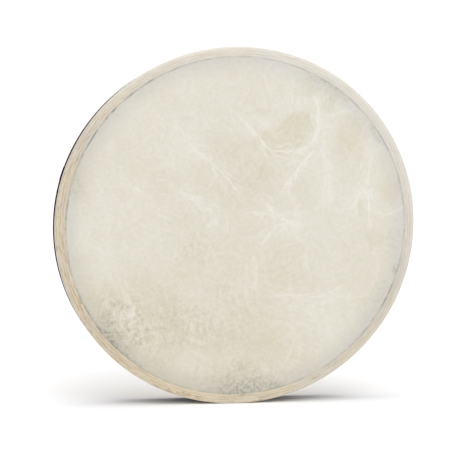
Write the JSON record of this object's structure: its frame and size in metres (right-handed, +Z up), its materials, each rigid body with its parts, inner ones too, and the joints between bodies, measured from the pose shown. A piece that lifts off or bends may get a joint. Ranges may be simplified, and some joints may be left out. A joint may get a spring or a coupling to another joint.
{
  "type": "frame drum",
  "caption": "Frame drum: a natural skin head stretched over the front of a shallow round laminated wood shell and glued down its side, a dark band behind the skin's edge, open at the back.",
  "frame": {"origin": "on the floor, at the middle of the rim that the drum stands on", "axes": "+Y along the drum's own axis from the head to the open back, +Z up across the head, +X to the right of someone facing the head"},
  "size_m": [0.4076, 0.0578, 0.4076],
  "materials": {
    "goatskin": "natural, smooth, slightly waxy",
    "face_ply": "satin varnish",
    "long_grain_ply": "satin varnish on the edge",
    "cross_grain_ply": "satin varnish on the edge",
    "dark_band": "fine woven tape, matt"
  },
  "bodies": {
    "root": {"goatskin_head": "goatskin", "side_band": "dark_band", "shell_ply_1_inner": "face_ply", "shell_ply_2": "cross_grain_ply", "shell_ply_3": "long_grain_ply", "shell_ply_4": "cross_grain_ply", "shell_ply_5": "long_grain_ply", "shell_ply_6": "cross_grain_ply", "shell_ply_7_outer": "face_ply"}
  },
  "joints": []
}
